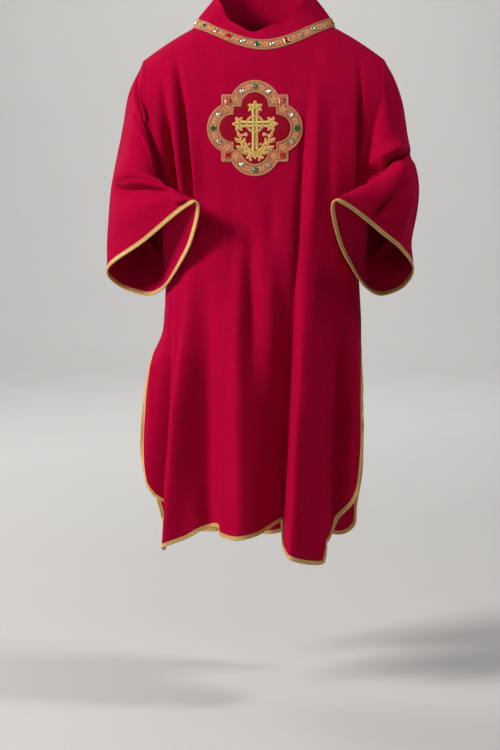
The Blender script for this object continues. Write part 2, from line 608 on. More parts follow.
def sleeveGrid(side):
    # the armhole ring, a short run on, then a smooth surface through the table's rings, pushed
    # in and out along its normal by the creases
    ring, outward, gap = armhole(side)
    count = len(ring)
    controls = []
    for number, row in enumerate(sleeves["rings"]):
        points = np.array(row, float)
        if side > 0 and number >= 3:
            points[[0, 1, 7], 0] -= np.array([1.0, 0.3, 0.6]) * sleeves["rightCuffIn"]
        if side < 0 and number == 4:
            points[:3, 2] -= np.array([0.6, 1.0, 0.2]) * sleeves["leftCuffDown"]
        points[:, 0] = panels["shoulderMiddle"] + side * points[:, 0]
        controls.append(roundSpline(points, count))
    second = ring + outward * sleeves["turn"]
    steps = np.linspace(0, len(controls), sleeves["rows"])
    rings = np.concatenate([(ring + outward * gap)[None], spline(np.stack([second, *controls]), steps)])
    cut = runLengths(rings, 0)
    keep = cut[-1] - panels["bindingWidth"]
    rings = atLengths(rings, cut, keep)

    pointsRound = len(sleeves["rings"][0])
    along = np.linspace(0, len(controls), len(rings))[:, None] * sleeves["alongUnit"] + 0 * rings[..., 0]
    around = np.arange(count)[None, :] * pointsRound / count * sleeves["aroundUnit"] + 0 * rings[..., 0]
    normals = gridNormals(rings, closed=True) * -side
    name = "leftCreases" if side < 0 else "rightCreases"
    shift = creaseShift(around, along, sleeves[name], around=pointsRound * sleeves["aroundUnit"])
    across = rings[..., 0] + rings[..., 1]
    uneven = wander(across, rings[..., 2] * 0.6, sleeves["unevenSize"], 31 + side)
    share = sleeves["cuffShare"]
    atCuff = share + (1 - share) * smooth((cut[-1:] - cut) / sleeves["quietCuff"])
    quiet = smooth(cut / sleeves["quietSeam"]) * atCuff
    return rings + normals * ((shift + uneven * sleeves["unevenness"]) * quiet)[..., None]


def atLengths(rings, run, last):
    # each line down the grid read again at even lengths up to its own last one
    rows = len(rings)
    target = last * np.linspace(0, 1, rows)[:, None]
    # position of each target in its own column's running length
    cell = (run[None, :, :] <= target[:, None, :]).sum(axis=1) - 1
    cell = np.clip(cell, 0, rows - 2)
    columns = np.arange(run.shape[1])[None, :]
    low, high = run[cell, columns], run[cell + 1, columns]
    part = ((target - low) / np.maximum(high - low, 1e-9))[..., None]
    return rings[cell, columns] * (1 - part) + rings[cell + 1, columns] * part


sleeveGrids = {side: sleeveGrid(side) for side in (-1, 1)}
sleeveCloth = {}
for side, name in ((-1, "leftSleeve"), (1, "rightSleeve")):
    sleeveCloth[side] = clothSheet(name, sleeveGrids[side], panels["wall"], closed=True)
print("sleeves made")


# the edge binding

binding = {
    "width": 0.0080,
    "lap": 0.0020,  # how far it laps over the cloth's edge
    "roll": (0.0024, 0.0021),  # half its width and half its thickness
    "flange": (0.0013, 0.0014),
    "smoothing": 24,
}


def bindingPath(name, edge, inside, closed):
    # the strip's section carried along the edge: out in the cloth's own plane, smoothed along the
    # edge, and up on the cloth's normal; open ends are drawn thinner
    if closed:
        along = np.roll(edge, -1, axis=0) - np.roll(edge, 1, axis=0)
    else:
        along = np.gradient(edge, axis=0)
    along = unit(along)
    outward = squareTo(along, edge - inside)
    for _ in range(binding["smoothing"]):
        before, after = np.roll(outward, 1, axis=0), np.roll(outward, -1, axis=0)
        if not closed:
            before[0], after[-1] = outward[0], outward[-1]
        outward = unit(2 * outward + before + after)
    outward = squareTo(along, outward)
    normals = unit(np.cross(along, outward))
    profile = np.array(binding["profile"])
    thick = np.ones(len(edge))
    if not closed:
        ends = np.minimum(np.arange(len(edge)), np.arange(len(edge))[::-1]) / 3
        thick = np.sqrt(np.clip(ends, 0.1, 1))
    rings = (
        edge[:, None] + outward[:, None] * (profile[None, :, :1] - binding["lap"])
        + normals[:, None] * profile[None, :, 1:] * thick[:, None, None]
    )
    return ringsToTube(name, rings, edge, closed)


def bindingProfile():
    # section of the strip, out from the edge and up: a round roll outside, a flatter one by the
    # cloth, and a groove between them, the same on both faces
    turn = np.radians(np.array([0, 30, 60, 90, 115, 138]))
    roll, flange = binding["roll"], binding["flange"]
    rollMiddle = binding["width"] + binding["lap"] - roll[0]
    outer = np.stack([rollMiddle + roll[0] * np.cos(turn), roll[1] * np.sin(turn)], -1)
    back = np.radians(np.array([48, 90, 135, 180]))
    inner = np.stack([flange[0] + flange[0] * np.cos(back), flange[1] * np.sin(back)], -1)
    upper = np.concatenate([outer, inner])
    return np.concatenate([upper, upper[-2:0:-1] * np.array([1, -1])])


binding["profile"] = bindingProfile()


def panelEdge(grid):
    # down one slit, along the hem and up the other slit, with the points just inside
    start = (panels["yokeRows"] + panels["armRows"] + panels["sideRows"] + 1) * panels["finerRows"]
    left, right = grid[start:-1, 0], grid[start:-1, -1][::-1]
    inside = np.concatenate([grid[start:-1, 1], grid[-2], grid[start:-1, -2][::-1]])
    inside[len(left)] = (grid[-2, 0] + grid[-1, 1]) / 2
    inside[-len(right) - 1] = (grid[-2, -1] + grid[-1, -2]) / 2
    return np.concatenate([left, grid[-1], right]), inside


bindings = {
    "frontBinding": bindingPath("frontBinding", *panelEdge(front), False),
    "backBinding": bindingPath("backBinding", *panelEdge(back), False),
}
for side, name in ((-1, "leftCuffBinding"), (1, "rightCuffBinding")):
    rings = sleeveGrids[side]
    bindings[name] = bindingPath(name, rings[-1], rings[-3], True)
print("binding made")


# the collar and its braid

collar = {
    "middle": 0.010,
    "notch": -0.0114,
    "topHalfWidth": 0.100,
    "topDepth": (0.080, 0.066),  # front and back
    "notchHeight": 0.002,
    # the top edge above the notch: way round from it, to the right, and height
    "topEdge": [
        (-0.320, 0.116), (-0.200, 0.110), (-0.094, 0.067), (-0.0675, 0.0336), (-0.032, 0.0140), (0, 0),
        (0.040, 0.0140), (0.0645, 0.0210), (0.110, 0.061), (0.200, 0.110), (0.320, 0.116),
    ],
    "gap": 0.0001,
    "rows": 26,  # above the braid
    "lineSteps": 81,
    "pull": 0.9,  # how far each line goes on in its first and last directions
    "lean": 0.35,  # inward at the top, for each unit upward
    "seamSmoothing": 12,
    "swell": 0.0022, "swellSize": 0.11, "swellFrom": 0.04,  # reaches its full height this far up
}
braid = {
    "width": 0.024,
    "laidGap": 0.0003,
    "ground": 0.0009,  # height of the woven ground
    "cordWidth": 0.0040, "cordRise": 0.0010,
    "edgeRound": 0.0006, "edgeShare": 0.35,  # it thins to this share over the last bit at each edge
    "rows": 24,
    "stones": 22,
    "columnsAStone": 16,
    "middleStone": -0.004,  # where the front's middle stone lies
    "stoneDepth": 0.9,  # share of the ground's height at which stones sit
    "spaceLength": 29.0,  # mm between two stones
}


def neckRing():
    # the panels' neck edge as one ring, front left to right and back again behind
    rows = []
    frontSide = panels["frontColumns"][1] * panels["finerColumns"]
    backSide = panels["backColumns"][1] * panels["finerColumns"]
    for row in (0, panels["finerRows"]):
        frontEdge = front[row, frontSide:-frontSide]
        backEdge = back[row, backSide:-backSide][::-1]
        ring = np.concatenate([frontEdge, backEdge[1:-1]])
        ring[0] = (frontEdge[0] + backEdge[-1]) / 2
        ring[len(frontEdge) - 1] = (frontEdge[-1] + backEdge[0]) / 2
        rows.append(ring)
    return rows


def evenly(ring, count, *others):
    # the closed ring read at even lengths round it, and the others at the same places
    closed = np.concatenate([ring, ring[:1]])
    run = runLengths(closed, 0)
    at = np.arange(count) / count * run[-1]
    again = [np.concatenate([points, points[:1]]) for points in (ring, *others)]
    return [np.stack([np.interp(at, run, points[:, k]) for k in range(3)], -1) for points in again]


def roundSmooth(ring, passes):
    # each point moved to a quarter, a half and a quarter of itself and its neighbours
    for _ in range(passes):
        ring = (np.roll(ring, 1, axis=0) + 2 * ring + np.roll(ring, -1, axis=0)) / 4
    return ring


def collarTop(angle):
    # the top edge at each way round: an ellipse in plan, which dips to a soft notch in front
    reach = np.where(np.cos(angle) > 0, *collar["topDepth"])
    notchAngle = np.arcsin((collar["notch"] - collar["middle"]) / collar["topHalfWidth"])
    fromNotch = ((angle - notchAngle + pi) % (2 * pi) - pi) * collar["topHalfWidth"]
    rise = curve(fromNotch, *np.array(collar["topEdge"]).T)
    return np.stack([
        collar["middle"] + collar["topHalfWidth"] * np.sin(angle),
        -reach * np.cos(angle),
        collar["notchHeight"] + rise,
    ], axis=-1)


def collarGrid():
    # lines that leave the panels in their own direction and arrive at the top edge leaning in a
    # little, on a Hermite cubic
    count = braid["stones"] * braid["columnsAStone"]
    neck, below = neckRing()
    ring, below = evenly(neck, count, below)
    side = ring[:, 0] - collar["middle"]
    depth = np.where(ring[:, 1] < 0, *panels["neckReach"])
    angle = np.arctan2(side / np.abs(side).max(), -ring[:, 1] / depth)
    top = collarTop(angle)
    along = unit(np.roll(ring, -1, axis=0) - np.roll(ring, 1, axis=0))
    leave = unit(roundSmooth(squareTo(along, ring - below), collar["seamSmoothing"]))
    start = ring + leave * collar["gap"]
    span = np.linalg.norm(top - start, axis=-1, keepdims=True)
    pull, lean = collar["pull"], collar["lean"]
    arrive = unit(np.stack([-lean * np.sin(angle), lean * np.cos(angle), np.ones_like(angle)], -1))
    fine = np.linspace(0, 1, collar["lineSteps"])[:, None, None]
    lines = (
        (2 * fine**3 - 3 * fine**2 + 1) * start + (fine**3 - 2 * fine**2 + fine) * leave * span * pull
        + (3 * fine**2 - 2 * fine**3) * top + (fine**3 - fine**2) * arrive * span * pull
    )
    run = runLengths(lines, 0)
    onBraid = braid["width"] * np.linspace(0, 1, braid["rows"] + 1)[:, None] + 0 * run[:1]
    above = np.linspace(0, 1, collar["rows"] + 1)[1:, None]
    levels = np.concatenate([onBraid, braid["width"] + (run[-1:] - braid["width"]) * above])
    grid = np.empty((len(levels), count, 3))
    for k in range(count):  # one line of the collar at a time
        for axis in range(3):
            grid[:, k, axis] = np.interp(levels[:, k], run[:, k], lines[:, k, axis])
    outward = -gridNormals(grid, closed=True)
    # slow swells of the standing cloth above the braid, none along the top of the braid itself
    free = smooth((levels - braid["width"]) / collar["swellFrom"])
    swell = wander(angle[None, :] * 0.12 + 0 * levels, levels * 0.5, collar["swellSize"], 5)
    return grid + outward * (swell * free * collar["swell"])[..., None]


collarRows = collarGrid()
collarOutward = -gridNormals(collarRows, closed=True)
collarCloth = clothSheet("collarCloth", collarRows, panels["wall"], closed=True)
print("collar made")


def braidHeight(share, width):
    # height over the braid's width: a flat ground and a half-round cord along each edge
    across = share * width
    half = braid["cordWidth"] / 2
    toCord = np.minimum(np.abs(across - half), np.abs(width - half - across)) / half
    return braid["ground"] + braid["cordRise"] * np.sqrt((1 - toCord**2).clip(0))


def braidBody(name, grid, outward, lift, width):
    # closed strip between a plain inner side and the corded outer side, all round the path
    share = np.linspace(0, 1, len(grid))[:, None]
    edge = smooth(np.minimum(share, 1 - share) * width / braid["edgeRound"])
    thin = braid["edgeShare"] + (1 - braid["edgeShare"]) * edge
    inner = grid + outward * lift
    outer = grid + outward * (lift + braidHeight(share, width) * thin)[..., None]
    rings = np.concatenate([outer, inner[::-1]]).transpose(1, 0, 2)
    points, faces = tubeMesh(rings, True)
    piece = setPoints(name, points, faces)
    run = runLengths(grid[len(grid) // 2], 0)
    # the run across counts from the middle of the strip
    across = (np.concatenate([share[:, 0], share[::-1, 0]]) - 0.5) * width
    u = np.repeat(run, len(across))
    addUV(piece, u, np.tile(across, len(run)), u + run[-1] + run[1])
    return piece


def onBraid(grid, outward, row, column, height):
    # a place on the braid read between four points of its grid, and lifted off it
    normal = unit(readBetween(outward, row, column, closed=True))
    return readBetween(grid, row, column, closed=True) + normal * np.asarray(height)[..., None], normal


# gold wire scrolls between the stones

scroll = {
    "wire": 0.00060,
    "rise": 0.00030,  # of the wire's middle above the ground
    "curls": 1.35,
    "points": 26,
    # each curl in mm from the middle of the space: heart x, heart y, size, turn sense, start angle
    "curl": [
        (4.1, 3.9, 3.0, 1, 200), (4.1, -3.9, 3.0, -1, 160),
        (-4.1, 3.9, 3.0, -1, -20), (-4.1, -3.9, 3.0, 1, 20),
    ],
    "inward": 0.82,  # share of its size that a curl loses on the way in
    # small leaves: from x, y to x, y in mm, and how thick
    "leaves": [
        (0, 1.2, 0, 6.6, 1.5), (0, -1.2, 0, -6.6, 1.5), (1.0, 0, 7.4, 0.3, 1.3), (-1.0, 0, -7.4, 0.3, 1.3),
        (8.6, 3.2, 11.8, 7.0, 1.2), (8.6, -3.2, 11.8, -7.0, 1.2),
        (-8.6, 3.2, -11.8, 7.0, 1.2), (-8.6, -3.2, -11.8, -7.0, 1.2),
    ],
}


def scrollPaths():
    # spirals whose radius falls evenly from the size inward, and straight spindle leaves;
    # returns millimetre paths (wires, points, 2) and their thickness along the way
    t = np.linspace(0, 1, scroll["points"])
    paths, thick = [], []
    for x, y, size, sense, startAngle in scroll["curl"]:
        angle = radians(startAngle) + sense * t * scroll["curls"] * 2 * pi
        radius = size * (1 - scroll["inward"] * t)
        paths.append(np.stack([x + radius * np.cos(angle), y + radius * np.sin(angle)], -1))
        thick.append(0.75 + 0.35 * (1 - t))
    for x0, y0, x1, y1, width in scroll["leaves"]:
        paths.append(np.stack([x0 + (x1 - x0) * t, y0 + (y1 - y0) * t], -1))
        thick.append(width * np.sin(pi * (0.06 + 0.88 * t)) ** 0.8)
    return np.array(paths), np.array(thick)


def wires(name, centres, normals, thick):
    # four-sided tubes along many paths at once, each end closed by one face
    count, points = centres.shape[:2]
    along = unit(np.gradient(centres, axis=1))
    aside = unit(np.cross(along, normals))
    size = (thick * scroll["wire"])[..., None]
    corners = [aside * size, normals * scroll["wire"], -aside * size, -normals * scroll["wire"]]
    rings = centres[:, :, None] + np.stack(corners, axis=2)
    index = np.arange(count * points * 4).reshape(count, points, 4)
    turned = np.roll(index, -1, axis=2)
    sides = np.stack([index[:, :-1], turned[:, :-1], turned[:, 1:], index[:, 1:]], -1).reshape(-1, 4)
    faces = np.concatenate([sides, index[:, 0, ::-1], index[:, -1]])
    return setPoints(name, rings, faces)


def scrollsOn(name, grid, outward, starts, ends, millimetres, width):
    # the same scroll between each two stones, its millimetres laid along the braid and across it
    paths, thick = scrollPaths()
    starts, ends = np.asarray(starts, float), np.asarray(ends, float)
    middle = ((starts + ends) / 2)[:, None, None]
    perMillimetre = ((ends - starts) / millimetres)[:, None, None]
    column = middle + perMillimetre * paths[None, ..., 0]
    row = braid["rows"] / 2 + paths[None, ..., 1] * (braid["rows"] / (width * 1000)) + 0 * column
    column, row = (values.reshape(-1, values.shape[-1]) for values in (column, row))
    height = braid["lift"] + braid["ground"] + scroll["rise"]
    centres, normals = onBraid(grid, outward, row, column, np.full(row.shape, height))
    return wires(name, centres, normals, np.tile(thick, (len(starts), 1)))


# stones in their settings

stones = {
    # radius, height, sides of the crown, in metres
    "green": (0.0060, 0.0030, 10),
    "white": (0.0050, 0.0026, 8),
    "red": (0.0079, 0.0028, 4),
    "settingWidth": 0.0010, "settingHeight": 0.0016,
    "beads": 14, "beadSize": 0.00055,
}


def gemTemplate(kind):
    # rings of a cut stone: foot, girdle, crown break, table; the table is one flat face
    radius, height, sides = stones[kind]
    turn = (np.arange(sides) + (0.5 if kind == "red" else 0.0)) * 2 * pi / sides
    half = pi / sides
    crown = (0.82, 0.72, 0) if kind == "red" else (0.80, 0.72, half)
    levels = [(0.96, 0.0, 0), (1.0, 0.28, 0), crown, (0.52, 1.0, 0)]
    rings = np.stack([
        np.stack([
            radius * r * np.cos(turn + a), radius * r * np.sin(turn + a), np.full(sides, height * z),
        ], -1)
        for r, z, a in levels
    ])
    index = np.arange(4 * sides).reshape(4, sides)
    turned = np.roll(index, -1, axis=1)
    faces = [list(face) for face in np.stack([index[0], turned[0], turned[1], index[1]], -1)]
    for k in range(1, 3):
        for j in range(sides):
            a, b, c, d = index[k, j], turned[k, j], index[k + 1, j], turned[k + 1, j]
            if kind == "red":
                faces.append([a, b, d, c])
            elif k == 1:
                faces += [[a, b, c], [b, d, c]]
            else:
                faces += [[a, b, d], [a, d, c]]
    faces += [list(index[3]), list(index[0, ::-1])]
    return rings.reshape(-1, 3), faces


def settingTemplate(kind):
    # a rim turned round the stone, its section a half round, in four sides for a square stone
    radius, height, sides = stones[kind]
    around = 24 if kind != "red" else 4
    turn = (np.arange(around) + (0.5 if kind == "red" else 0.0)) * 2 * pi / around
    width, rise = stones["settingWidth"] * (1.4 if kind == "red" else 1.0), stones["settingHeight"]
    section = [(-0.1, 0.0), (-0.15, 0.7), (0.2, 1.0), (0.7, 0.8), (1.0, 0.3), (1.1, 0.0)]
    reach = [radius + width * a for a, _ in section]
    rings = np.stack([
        np.stack([out * np.cos(turn), out * np.sin(turn), np.full(around, rise * z)], -1)
        for out, (_, z) in zip(reach, section)
    ])
    index = np.arange(len(section) * around).reshape(len(section), around)
    index = np.concatenate([index, index[:1]])
    turned = np.roll(index, -1, axis=1)
    faces = np.stack([index[1:], turned[1:], turned[:-1], index[:-1]], -1).reshape(-1, 4)
    return rings.reshape(-1, 3), faces.tolist()


def beadTemplate(kind):
    # small eight-sided beads in a ring round the setting
    radius = stones[kind][0] * (1.0 if kind != "red" else 0.86) + stones["settingWidth"] * 1.75
    size = stones["beadSize"]
    if kind == "red":  # along the four sides of the square
        side = np.linspace(-1, 1, 4)[:-1] * radius
        edge = np.full(3, radius)
        x, y = np.concatenate([side, edge, -side, -edge]), np.concatenate([edge, -side, -edge, side])
    else:
        turn = np.arange(stones["beads"]) * 2 * pi / stones["beads"]
        x, y = radius * np.cos(turn), radius * np.sin(turn)
    corners = np.array([(1, 0, 0), (0, 1, 0), (-1, 0, 0), (0, -1, 0), (0.0, 0, 1), (0, 0, -0.6)]) * size
    middles = np.stack([x, y, np.full_like(x, size * 0.5)], -1)
    points = (middles[:, None] + corners[None]).reshape(-1, 3)
    start = np.arange(len(x))[:, None, None] * 6
    top, foot = [(k, (k + 1) % 4, 4) for k in range(4)], [((k + 1) % 4, k, 5) for k in range(4)]
    faces = np.array(top + foot)
    return points, (start + faces[None]).reshape(-1, 3).tolist()


def placed(name, template, places, along, normals, smoothed):
    # one copy of the template at each place, its z on the surface's normal and its x along the braid
    points, faces = template
    along = squareTo(normals, along)
    aside = np.cross(normals, along)
    moved = (
        places[:, None]
        + points[None, :, :1] * along[:, None] + points[None, :, 1:2] * aside[:, None]
        + points[None, :, 2:] * normals[:, None]
    )
    every = [[corner + k * len(points) for corner in face] for k in range(len(places)) for face in faces]
    return setPoints(name, moved, every, smoothed)


braid["lift"] = panels["wall"] / 2 + braid["laidGap"]
collarBraidGrid, collarBraidOutward = collarRows[braid["rows"] :: -1], collarOutward[braid["rows"] :: -1]
collarBraid = braidBody("collarBraid", collarBraidGrid, collarBraidOutward, braid["lift"], braid["width"])


# the braid's middle stone sits in front, and the colours go green, white, red, white to both sides
frontMiddle = int(np.argmin(collarRows[0, :, 1] + np.abs(collarRows[0, :, 0] - braid["middleStone"]) * 20))
order = ["green", "white", "red", "white"]


def stonesOnCollar():
    # frames for every stone on the collar: place, the way along, the normal and its colour
    columns = (frontMiddle + np.arange(braid["stones"]) * braid["columnsAStone"]) % collarRows.shape[1]
    middle = np.full(len(columns), braid["rows"] / 2.0)
    height = np.full(len(columns), braid["lift"] + braid["ground"] * braid["stoneDepth"])
    places, normals = onBraid(collarBraidGrid, collarBraidOutward, middle, columns.astype(float), height)
    ahead, _ = onBraid(collarBraidGrid, collarBraidOutward, middle, columns + 1.0, height)
    kinds = [order[min(k, len(columns) - k) % 4] for k in range(len(columns))]
    return columns, places, ahead - places, normals, kinds


collarStones = stonesOnCollar()
collarScroll = scrollsOn(
    "collarScroll", collarBraidGrid, collarBraidOutward, collarStones[0],
    collarStones[0] + braid["columnsAStone"], braid["spaceLength"], braid["width"],
)
print("collar braid made")


# the medallion

medallion = {
    "place": (-0.0072, -0.2065),
    "lobeReach": 0.1030, "lobeRadius": 0.0555, "squareHalf": 0.0722,
    "cornerBlunt": 0.0035,
    "arcSteps": 26, "cornerSteps": 9,
    "groundRows": 22,
    "whiteAngle": 43,
    "redPlace": 0.0583,
    "braidWidth": 0.0268,
    # the chest behind it is read at these heights and places across: from, to and how many
    "chestHeights": (-0.36, -0.05, 156), "chestAcross": (-0.14, 0.13, 136),
    "chestEdge": 8,  # columns left out at each side
    "bridging": 6,  # the backed medallion bridges the small creases under it
    "slopeStep": 0.006,
}


def chestDepth():
    # the front panel's depth at places (x, z), read from its columns at even heights
    levels, evenX = np.linspace(*medallion["chestHeights"]), np.linspace(*medallion["chestAcross"])
    picked = front[:, medallion["chestEdge"] : -medallion["chestEdge"]].transpose(1, 0, 2)
    x, y = (np.stack([np.interp(-levels, -line[:, 2], line[:, axis]) for line in picked]) for axis in (0, 1))
    table = np.stack([np.interp(evenX, x[:, k], y[:, k]) for k in range(len(levels))])
    for _ in range(medallion["bridging"]):
        table[1:-1] = (table[:-2] + 2 * table[1:-1] + table[2:]) / 4
        table[:, 1:-1] = (table[:, :-2] + 2 * table[:, 1:-1] + table[:, 2:]) / 4

    def depth(atX, atZ):
        column = (atX - evenX[0]) / (evenX[1] - evenX[0])
        row = (atZ - levels[0]) / (levels[1] - levels[0])
        return readBetween(table, row, column)

    return depth


depthAt = chestDepth()


def laidOn(flat, lift):
    # flat places (x, z) round the medallion's middle, put on the panel and lifted along its normal
    x, z = flat[..., 0] + medallion["place"][0], flat[..., 1] + medallion["place"][1]
    step = medallion["slopeStep"]
    slopeX = (depthAt(x + step, z) - depthAt(x - step, z)) / (2 * step)
    slopeZ = (depthAt(x, z + step) - depthAt(x, z - step)) / (2 * step)
    normal = unit(np.stack([slopeX, -np.ones_like(x), slopeZ], axis=-1))
    return np.stack([x, depthAt(x, z), z], axis=-1) + normal * np.asarray(lift)[..., None], normal


def quatrefoil(inset):
    # four lobes and four square corners, drawn in by the inset: an arc, a blunt corner, an arc
    middle = medallion["lobeReach"] - medallion["lobeRadius"]
    radius, half = (medallion[name] - inset for name in ("lobeRadius", "squareHalf"))
    openAngle = np.arccos((half - middle) / radius)
    turn = np.linspace(0, openAngle, medallion["arcSteps"] + 1)
    arc = np.stack([middle + radius * np.cos(turn), radius * np.sin(turn)], axis=-1)
    blunt = medallion["cornerBlunt"] * (1 - 0.7 * inset / medallion["braidWidth"])
    up = np.linspace(arc[-1, 1], half - blunt, medallion["cornerSteps"] + 1)[1:]
    side = np.stack([np.full_like(up, half), up], axis=-1)
    bend = np.array([radians(22.5), radians(45)])
    corner = half - blunt + blunt * np.stack([np.cos(bend), np.sin(bend)], axis=-1)
    eighth = np.concatenate([arc, side, corner])
    quarter = np.concatenate([eighth, eighth[-2:0:-1, ::-1]])
    turned = np.stack([-quarter[:, 1], quarter[:, 0]], -1)
    return np.concatenate([quarter, turned, -quarter, -turned])


insets = medallion["braidWidth"] * np.linspace(0, 1, braid["rows"] + 1)
flatFrame = np.stack([quatrefoil(inset) for inset in insets])[::-1]
frameGrid, frameOutward = laidOn(flatFrame, np.zeros(flatFrame.shape[:2]))
medallionFrame = braidBody("medallionFrame", frameGrid, frameOutward, braid["lift"], medallion["braidWidth"])


def medallionStones():
    # a green stone on each axis, white ones to both sides of it, a red square in each corner
    middle = medallion["lobeReach"] - medallion["lobeRadius"]
    radius = medallion["lobeRadius"] - medallion["braidWidth"] / 2
    angle, red = radians(medallion["whiteAngle"]), medallion["redPlace"]
    out, aside = middle + radius * np.cos(angle), radius * np.sin(angle)
    first = [
        (middle + radius, 0.0, "green", 0.0), (out, aside, "white", angle),
        (red, red, "red", 0.0), (aside, out, "white", pi / 2 - angle),
    ]
    found = []
    for turned in np.arange(4) * pi / 2:
        c, s = np.cos(turned), np.sin(turned)
        found += [(x * c - z * s, x * s + z * c, kind, turn + turned) for x, z, kind, turn in first]
    flat = np.array([(x, z) for x, z, _, _ in found])
    height = braid["lift"] + braid["ground"] * braid["stoneDepth"]
    places, normals = laidOn(flat, np.full(len(flat), height))
    turn = np.array([row[3] for row in found])
    along = np.stack([np.cos(turn), 0 * turn, np.sin(turn)], axis=-1)
    return places, along, normals, [row[2] for row in found]


def cellColumns():
    # where the spaces between two stones begin and end, as columns of the frame's grid
    quarter = flatFrame.shape[1] // 4
    middle = braid["rows"] // 2
    whole = np.concatenate([flatFrame[middle], flatFrame[middle, :1]])
    run = runLengths(whole, 0)
    length = run[quarter]
    radius = medallion["lobeRadius"] - medallion["braidWidth"] / 2
    toWhite = radius * radians(medallion["whiteAngle"])
    stops = np.array([0, toWhite, length / 2, length - toWhite])
    starts = np.concatenate([stops + k * length for k in range(4)])
    ends = np.append(starts[1:], run[-1])
    columns = np.arange(len(run))
    return np.interp(starts, run, columns), np.interp(ends, run, columns), (ends - starts) * 1000


cellStart, cellEnd, cellLength = cellColumns()
medallionScroll = scrollsOn(
    "medallionScroll", frameGrid, frameOutward, cellStart, cellEnd, cellLength, medallion["braidWidth"]
)

allStones = medallionStones()
stonePieces = []
for where, (places, along, normals, kinds) in (("collar", collarStones[1:]), ("medallion", allStones)):
    kinds = np.array(kinds)
    for kind in ("green", "white", "red"):
        chosen = kinds == kind
        frameOf = (places[chosen], along[chosen], normals[chosen])
        gem = placed(f"{where}Stones_{kind}", gemTemplate(kind), *frameOf, False)
        setting = placed(f"{where}Settings_{kind}", settingTemplate(kind), *frameOf, kind != "red")
        beads = placed(f"{where}Beads_{kind}", beadTemplate(kind), *frameOf, True)
        stonePieces.append((where, kind, gem, setting, beads))
print("stones set")


# the field inside the frame, with its gold embroidery

field = {
    "inset": 0.0264,
    "innerRound": 0.05, "innerRow": 0.4,  # circle that the rows round off to, and the last row's share
    "thickness": 0.0010,
    "lift": 0.0016,  # of its middle surface above the panel's
}


def fieldSheet():
    # the frame's inner outline drawn in toward its middle, closed there with a small round patch
    outline = quatrefoil(field["inset"])
    share = np.linspace(1, 0, medallion["groundRows"], endpoint=False)[:, None, None]
    # the inner rows round off towards a circle
    radius = np.linalg.norm(outline, axis=-1, keepdims=True)
    circle = outline / radius * field["innerRound"]
    flat = (outline * share + circle * (1 - share)) * share
    flat = np.concatenate([flat, flat[-1:] * field["innerRow"]])
    points, _ = laidOn(flat, np.full(flat.shape[:2], field["lift"]))
    middle, _ = laidOn(np.zeros((1, 2)), np.full(1, field["lift"]))
    rows, columns = flat.shape[:2]
    faces = gridFaces(rows, columns, True)[:, ::-1].tolist()
    last = (rows - 1) * columns
    faces += [[rows * columns, last + (k + 1) % columns, last + k] for k in range(columns)]
    piece = setPoints("medallionField", np.concatenate([points.reshape(-1, 3), middle]), faces)
    flat = np.concatenate([flat.reshape(-1, 2), [[0, 0]]])
    addUV(piece, flat[:, 0], flat[:, 1])
    thicken(piece, field["thickness"])
    return piece


medallionField = fieldSheet()

embroidery = {
    "lift": 0.0020,  # of its edge above the panel's middle surface
    "sunk": 0.0004,  # its foot lies this much deeper
    "height": {"crossLimbs": 1.5, "crossLeaves": 1.3, "crossRing": 1.1},  # of the padding, in mm
    "outline": 0.00070,  # radius of the couched cord round each shape
    "outlineOff": 0.25,  # mm from the shape's edge to the cord's middle
    "outlineLift": 0.0001,
    "stepsAlong": 30, "stepsAcross": 10,
    # limbs of the cross in mm: from x, z to x, z, half width in the middle and at the ends
    "limbs": [(0, -48, 0, 41, 5.6, 7.0), (-31, 9, 31, 9, 5.6, 7.0)],
    "crossing": (0, 9),
    "ringRadius": 17.0, "ringHalfWidth": 2.6,
    # fleur leaves at a limb's end, along and aside from it: start, bend, end, half width
    "fleur": [
        ((-1, 0), (7, 0), (18, 0), 4.4),
        ((0, 3.0), (8, 6.5), (9.0, 15.0), 3.4),
        ((0, -3.0), (8, -6.5), (9.0, -15.0), 3.4),
        ((2, 4.0), (3, 10.0), (-4.0, 13.5), 2.3),
        ((2, -4.0), (3, -10.0), (-4.0, -13.5), 2.3),
    ],
    # one spray, right of the foot: stem points, then leaves as start, bend, end, half width
    "stem": [(1.5, -57), (11, -54), (21, -46), (28.5, -35), (31, -23), (27, -14.5), (20, -13.5)],
    "stemHalfWidth": 1.5,
    "sprayLeaves": [
        ((6, -56), (12, -63), (19, -63), 3.3), ((8, -54), (10, -47), (17, -41), 3.0),
        ((15, -51), (22, -54.5), (28.5, -49), 3.2), ((19, -47), (17.5, -38), (21.5, -31), 3.0),
        ((24, -42), (33, -44), (40, -38), 3.3), ((28.5, -35), (23, -28.5), (22.5, -21), 2.8),
        ((30.5, -28), (38, -28), (42.5, -20.5), 3.1), ((29.5, -19), (36, -15), (37, -7.0), 2.7),
    ],
    "berries": [(19.5, -13.5, 3.0), (12.0, -34.5, 1.9), (9.5, -68.0, 1.9)],
}


def bentPath(start, bend, end, steps):
    # quadratic through the start and the end, pulled towards the bend
    t = np.linspace(0, 1, steps)[:, None]
    start, bend, end = (np.array(p, float) for p in (start, bend, end))
    return start * (1 - t) ** 2 + 2 * bend * t * (1 - t) + end * t**2


